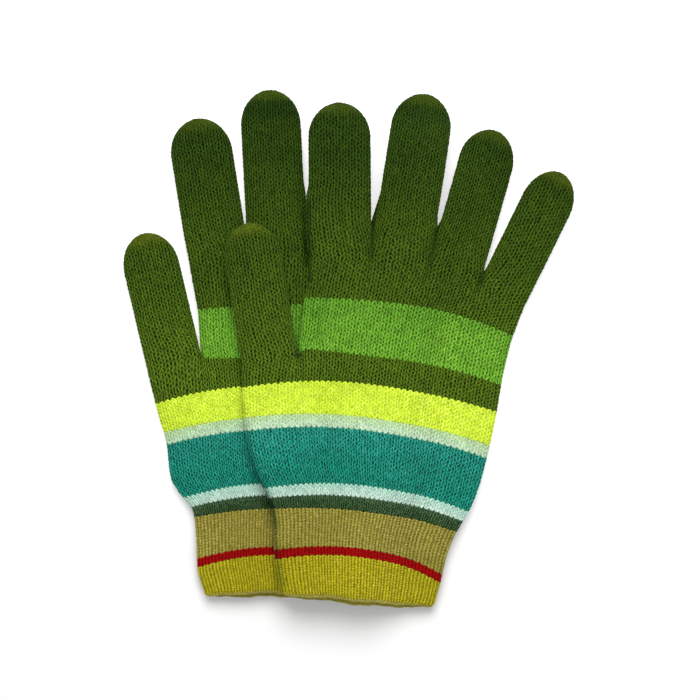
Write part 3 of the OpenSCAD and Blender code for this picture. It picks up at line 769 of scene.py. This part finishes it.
def make_mesh(name, tube):
    """The closed mesh of a knitted tube: inner rows, then outer rows, and fans or an edge at its ends."""
    outer, inner, closed = tube["outer"], tube["inner"], tube["closed"]
    cols = outer.shape[1]
    lip = lip_rows(outer, inner) if tube["mouth"] else np.zeros((0, cols, 3))
    stack = np.concatenate([inner[::-1], lip, outer])
    rows = len(stack)

    def stacked(values, inside, on_lip):
        head = np.broadcast_to(inside, (len(inner), cols))
        return np.concatenate([head, np.full((len(lip), cols), on_lip), values]).ravel()

    attributes = {label: stacked(tube[label], INSIDE[label], ON_LIP[label]) for label in INSIDE}
    wale = stacked(tube["wale"], np.arange(cols)[None, :] / COLS, 0)
    course = stacked(tube["course"], tube["inner_at"][::-1], 0)
    points = stack.reshape(-1, 3)
    i = np.arange(rows - 1 if closed else rows)[:, None]
    j = np.arange(cols)[None, :]
    j1, i1 = (j + 1) % cols, (i + 1) % rows
    quads = np.stack([i * cols + j, i * cols + j1, i1 * cols + j1, i1 * cols + j], -1).reshape(-1, 4)
    triangles = np.zeros((0, 3), int)
    if closed:
        inner_end, outer_end = len(points), len(points) + 1
        points = np.vstack([points, stack[0].mean(0), stack[-1].mean(0)])
        ends = [0, -1]
        wale, course = np.append(wale, wale[ends]), np.append(course, course[ends])
        attributes = {label: np.append(values, values[ends]) for label, values in attributes.items()}
        first = np.arange(cols)
        after = (first + 1) % cols
        last = (rows - 1) * cols
        triangles = np.vstack([np.column_stack([np.full(cols, inner_end), after, first]),
                               np.column_stack([last + first, last + after, np.full(cols, outer_end)])])
    corners = np.concatenate([quads.ravel(), triangles.ravel()])
    starts = np.concatenate([np.arange(len(quads)) * 4, quads.size + np.arange(len(triangles)) * 3])
    mesh = bpy.data.meshes.new(name)
    mesh.vertices.add(len(points))
    mesh.vertices.foreach_set("co", (points * MM).astype(np.float32).ravel())
    mesh.loops.add(len(corners))
    mesh.loops.foreach_set("vertex_index", corners.astype(np.int32))
    mesh.polygons.add(len(starts))
    mesh.polygons.foreach_set("loop_start", starts.astype(np.int32))
    mesh.update(calc_edges=True)
    mesh.shade_smooth()
    yarn = np.column_stack([wale, course, np.full(len(wale), tube["seed"])]).astype(np.float32)
    mesh.attributes.new("yarn", "FLOAT_VECTOR", "POINT").data.foreach_set("vector", yarn.ravel())
    for label, values in attributes.items():
        mesh.attributes.new(label, "FLOAT", "POINT").data.foreach_set("value", values.astype(np.float32))
    return mesh


# ---------------------------------------------------------------- materials

# Each yarn: its colour, the painted shade of the gaps between its stitches, and the tint its strands vary
# towards
YARNS = {
    "olive_yarn": ((0.0650, 0.126, 0.006), 0.04, (0.098, 0.142, 0.008)),
    "bright_green_yarn": ((0.121, 0.332, 0.023), 0.21, (0.200, 0.385, 0.037)),
    "neon_yarn": ((0.455, 0.615, 0.028), 0.68, (0.620, 0.740, 0.100)),
    "grey_mint_yarn": ((0.365, 0.521, 0.340), 0.70, (0.458, 0.566, 0.422)),
    "teal_yarn": ((0.007, 0.222, 0.152), 0.12, (0.038, 0.294, 0.231)),
    "pale_mint_yarn": ((0.363, 0.517, 0.428), 0.68, (0.515, 0.608, 0.536)),
    "dark_green_yarn": ((0.028, 0.074, 0.021), 0.04, (0.088, 0.126, 0.061)),
    "tan_yarn": ((0.242, 0.211, 0.030), 0.38, (0.360, 0.309, 0.088)),
    "red_yarn": ((0.262, 0.001, 0.001), 0.36, (0.327, 0.003, 0.003)),
    "chartreuse_yarn": ((0.346, 0.310, 0.007), 0.34, (0.450, 0.389, 0.031)),
}
# The colour of felted yarn, where it isn't the strands' tint
FELT_TINT = {"chartreuse_yarn": (0.50, 0.44, 0.15), "olive_yarn": (0.190, 0.245, 0.012)}
# What a yarn's nap takes on from the stripe above it, and how strongly
TOP_TINT = {"grey_mint_yarn": ((0.36, 0.51, 0.21), 0.8), "pale_mint_yarn": ((0.22, 0.50, 0.38), 0.5),
            "teal_yarn": ((0.03, 0.29, 0.23), 0.4), "dark_green_yarn": ((0.09, 0.17, 0.10), 0.35)}
# How much single hairs catch the light or leave dark places, and on the hairier yarns
HAIR_SHADE = 0.28
FUZZY = {"chartreuse_yarn": 0.42, "tan_yarn": 0.36, "olive_yarn": 0.38}
# The sizes of the noises, as cells in a metre: fibres and hairs, flecks, and patches of wear. A strand's
# own noise is in stitches, stretched along the arms
HAIR, FLECK, PATCH = 2300.0, 900.0, 38.0
STRAND_SCALE, STRAND = (7.0, 1.3, 1.0), 2.2
# What brightness DEEP_AT does to a colour: it is a little greener than plain darkening
DEEP_AT, DEEP_SHADE = 0.3, (0.19, 0.29, 0.26)


class Tree:
    """A material's nodes, made and joined in one call each."""

    def __init__(self, name):
        self.material = bpy.data.materials.new(name)
        self.material.use_nodes = True
        self.tree = self.material.node_tree
        self.tree.nodes.clear()

    def add(self, kind, inputs=None, **settings):
        node = self.tree.nodes.new(kind)
        for key, value in settings.items():
            setattr(node, key, value)
        for key, value in (inputs or {}).items():
            if isinstance(value, bpy.types.NodeSocket):
                self.tree.links.new(value, node.inputs[key])
            else:
                node.inputs[key].default_value = value
        return node

    def value(self, name):
        return self.add("ShaderNodeAttribute", attribute_name=name).outputs["Fac"]

    def ramp(self, value, low, high, out_low, out_high):
        return self.add("ShaderNodeMapRange", {"Value": value, "From Min": low, "From Max": high,
                                               "To Min": out_low, "To Max": out_high}).outputs[0]

    def math(self, operation, a, b):
        return self.add("ShaderNodeMath", {0: a, 1: b}, operation=operation).outputs[0]

    def noise(self, vector, scale, detail=2.0):
        inputs = {"Vector": vector, "Scale": scale, "Detail": detail}
        return self.add("ShaderNodeTexNoise", inputs).outputs["Fac"]

    def scaled(self, colour, scale):
        return self.add("ShaderNodeVectorMath", {0: colour, "Scale": scale}, operation="SCALE").outputs[0]

    def colour(self, a, b, factor, blend="MIX"):
        node = self.add("ShaderNodeMix", data_type="RGBA", blend_type=blend)
        for place, value in ((0, factor), (6, a), (7, b)):
            if isinstance(value, bpy.types.NodeSocket):
                self.tree.links.new(value, node.inputs[place])
            else:
                node.inputs[place].default_value = value if place == 0 else (*value, 1)
        return node.outputs[2]


def yarn_material(slot):
    """Woollen yarn: strands a little lighter and darker, gaps painted dark with shade, fine fibres and a
    soft sheen.
    """
    base, gap, tint = YARNS[slot]
    t = Tree(slot)
    yarn = t.add("ShaderNodeAttribute", attribute_name="yarn").outputs["Vector"]
    place = t.add("ShaderNodeTexCoord").outputs["Object"]
    felt = t.value("felt")
    strands = t.add("ShaderNodeMapping", {"Vector": yarn, "Scale": STRAND_SCALE}).outputs[0]
    fibre = t.noise(strands, STRAND, 3.0)
    fleck = t.noise(place, FLECK)
    patch = t.noise(place, PATCH)
    hair = t.noise(place, HAIR, 1.0)

    # Brightness: painted shade in the gaps between stitches, then each stitch, its strands, single hairs and
    # patches
    depth = t.ramp(t.value("loop"), 0.10, 0.85, gap, 1.0)
    depth = t.add("ShaderNodeMix", {0: felt, 2: depth, 3: 0.5 + gap / 2}, data_type="FLOAT").outputs[0]
    shade = t.math("MULTIPLY", depth, t.ramp(t.value("tone"), -1, 1, 0.90, 1.10))
    shade = t.math("MULTIPLY", shade, t.ramp(fibre, 0.25, 0.75, 0.86, 1.14))
    rough = FUZZY.get(slot, HAIR_SHADE)
    shade = t.math("MULTIPLY", shade, t.ramp(hair, 0.3, 0.7, 1 - rough, 1 + rough))
    shade = t.math("MULTIPLY", shade, t.ramp(patch, 0.3, 0.7, 0.94, 1.06))

    # Colour: flecks of the tint, what the nap takes from the stripe above, and felting
    hue = t.math("MULTIPLY", t.ramp(fleck, 0.45, 0.70, 0.0, 0.8), t.ramp(patch, 0.35, 0.65, 0.4, 1.0))
    colour = t.colour(base, tint, hue)
    if slot in TOP_TINT:
        top_tint, most = TOP_TINT[slot]
        spread_up = t.math("ADD", t.value("up"), t.ramp(fleck, 0.3, 0.7, -0.25, 0.25))
        colour = t.colour(colour, top_tint, t.ramp(spread_up, 0.35, 1.0, 0.0, most))
    napped = t.math("MULTIPLY", felt, t.ramp(hair, 0.35, 0.6, 0.35, 1.0))
    colour = t.colour(colour, FELT_TINT.get(slot, tint), napped)
    colour = t.scaled(colour, shade)
    # The shade attribute carries the painted shade of the creases, and the darkening towards and just below
    # the fingertips
    deep = t.colour(DEEP_SHADE, (1, 1, 1), t.ramp(t.value("shade"), DEEP_AT, 1, 0, 1))
    colour = t.colour(colour, deep, 1.0, "MULTIPLY")

    rise = t.math("ADD", t.math("MULTIPLY", fibre, 0.7), t.math("MULTIPLY", fleck, 0.5))
    bump = t.add("ShaderNodeBump", {"Height": rise, "Strength": 0.5, "Distance": 0.00025})
    shader = t.add("ShaderNodeBsdfPrincipled", {
        "Base Color": colour, "Normal": bump.outputs["Normal"], "Specular IOR Level": 0.06,
        "Roughness": t.ramp(fibre, 0.2, 0.8, 0.78, 0.95), "Sheen Weight": 0.30, "Sheen Roughness": 0.35})
    shader.inputs["Sheen Tint"].default_value = (*[min(1.0, 0.1 + 1.5 * x) for x in tint], 1)
    t.add("ShaderNodeOutputMaterial", {"Surface": shader.outputs["BSDF"]})
    return t.material


FLOOR_COLOUR, FLOOR_ROUGH = (0.66, 0.66, 0.66), 0.9
# The floor's glow starts and is full at these distances up the pair (m)
GLOW_FROM, GLOW_TO, GLOW = -0.085, -0.045, 0.42


def floor_material():
    """A plain matt floor, lit from within like a light table, but not beside the cuffs."""
    t = Tree("pale_floor")
    place = t.add("ShaderNodeTexCoord").outputs["Object"]
    tone = t.ramp(t.noise(place, 6.0), 0.3, 0.7, 0.99, 1.01)
    up = t.add("ShaderNodeSeparateXYZ", {"Vector": place}).outputs["Y"]
    glow = t.ramp(up, GLOW_FROM, GLOW_TO, 0, GLOW)
    shader = t.add("ShaderNodeBsdfPrincipled", {
        "Base Color": t.scaled(FLOOR_COLOUR, tone), "Roughness": FLOOR_ROUGH, "Emission Color": (1, 1, 1, 1),
        "Emission Strength": glow})
    t.add("ShaderNodeOutputMaterial", {"Surface": shader.outputs["BSDF"]})
    return t.material


MATERIALS = {slot: yarn_material(slot) for slot in YARNS}

# ---------------------------------------------------------------- the pieces

BLEND_LEN = 18.0        # of fabric that turns at a joint (mm)
seeds = iter(range(1, 200, 2))


def add_piece(node, slot, knitted):
    """Makes the knitted piece that stands for a CAD node."""
    mesh = make_mesh("knit_" + node, knitted)
    mesh.materials.append(MATERIALS[slot])
    piece = bpy.data.objects.new("knit_" + node, mesh)
    bpy.context.scene.collection.objects.link(piece)
    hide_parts(node)
    return piece


def bend_line(g, k, t):
    """Where a digit's fabric starts and stops turning when it bends at t, at the height of its top."""
    ends = [root_at(g, k, 0.5) + x * along(g, k) for x in (t, t + BLEND_LEN)]
    start, end = to_pair(g, np.array(ends))
    z = FINGER_H + float(rest_z(g, to_pair(g, np.array([ends[0]])))[0])
    return [(*(p * MM), z * MM) for p in (start, end)]


def make_hand(g, grids):
    side, body = GLOVES[g], GLOVES[g] + "_hand"
    for i, (name, slot, _, _) in enumerate(BANDS):
        rib = i < RIB_BANDS
        grid, first = (grids["palm"], STRIPE_C[CROTCH_ROW]) if i >= CROTCH_ROW else (grids["hand"], 0)
        c0, c1 = int(STRIPE_C[i] - first), int(STRIPE_C[i + 1] - first)
        knitted = knit(g, grid, c0, c1, next(seeds), RIB_ROWS if rib else ROWS, rib, mouth=i == 0)
        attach(add_piece(f"{side}_{name}", slot, knitted), body)
    top = BANDS[CROTCH_ROW][3]
    knuckles = knit(g, grids["palm"], top, top + KNUCKLE_ROWS, next(seeds))
    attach(add_piece(f"{side}_olive_knuckles", "olive_yarn", knuckles), body)


def make_digit(g, k, grid):
    """A digit's tube: a base and a tip, split where it bends."""
    side, name = GLOVES[g], DIGITS[k]
    hand = side + "_hand"
    last = body_courses(g, k) + TIP_COURSES
    length = LENGTH[g][k]
    if BEND_AT[g][k] == 1:
        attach(add_piece(f"{side}_{name}_finger", "olive_yarn",
                          knit(g, grid, 0, last, next(seeds), digit=k)), hand)
        return
    bend = BEND_AT[g][k] * length
    bend_course = round(bend / (length - TIP_LEN) * body_courses(g, k))
    base_body, tip_body = f"{side}_{name}_base", f"{side}_{name}_tip"
    base = add_piece(base_body, "olive_yarn", knit(g, grid, 0, bend_course, next(seeds), digit=k))
    tip = add_piece(tip_body, "olive_yarn", knit(g, grid, bend_course, last, next(seeds), digit=k))
    if base_body in frame["bodies"]:
        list(bend_line(g, k, 0))
        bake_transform(base)
        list(bend_line(g, k, bend))
        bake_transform(tip)
    else:
        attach(base, hand)
        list(bend_line(g, k, bend))
        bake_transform(tip)


for glove in (LOWER, UPPER):
    grids = base_grids(glove)
    make_hand(glove, grids)
    for digit in range(5):
        make_digit(glove, digit, grids[DIGITS[digit]])

# ---------------------------------------------------------------- floor, light and camera

FLOOR_SIZE = 6.0
FLOOR_Z = -0.0002
bpy.ops.mesh.primitive_plane_add(size=FLOOR_SIZE, location=(0, 0, FLOOR_Z))
floor = bpy.context.object
floor.name = "floor"
floor.data.materials.append(floor_material())

WORLD_LIGHT = 0.55
world = bpy.data.worlds.new("studio")
world.use_nodes = True
background = world.node_tree.nodes["Background"]
background.inputs["Color"].default_value = (1, 1, 1, 1)
background.inputs["Strength"].default_value = WORLD_LIGHT
bpy.context.scene.world = world


def add_light(name, place, size, power):
    """A round soft light that shines on the middle of the pair."""
    data = bpy.data.lights.new(name, "AREA")
    data.shape, data.size, data.energy = "DISK", size, power
    light = bpy.data.objects.new(name, data)
    bpy.context.scene.collection.objects.link(light)
    light.location = place
    light.rotation_euler = (-Vector(place)).to_track_quat("-Z", "Y").to_euler()


add_light("key", (-0.02, 0.72, 1.0), size=0.85, power=19)
add_light("fill", (0.4, -0.3, 1.3), size=1.0, power=5)

# The camera looks straight down on the middle of the pair, and sees VIEW metres across at its height
VIEW = 0.294
VIEW_CENTRE = (0.0006, -0.0003)
VIEW_Z = 0.010
LENS, SENSOR = 100.0, 36.0
camera_data = bpy.data.cameras.new("camera")
camera_data.lens, camera_data.sensor_width = LENS, SENSOR
camera_data.clip_start, camera_data.clip_end = 0.01, 20
camera = bpy.data.objects.new("camera", camera_data)
camera.location = (*VIEW_CENTRE, VIEW_Z + VIEW * LENS / SENSOR)
bpy.context.scene.collection.objects.link(camera)
bpy.context.scene.camera = camera
bpy.context.scene.view_settings.view_transform = "Standard"
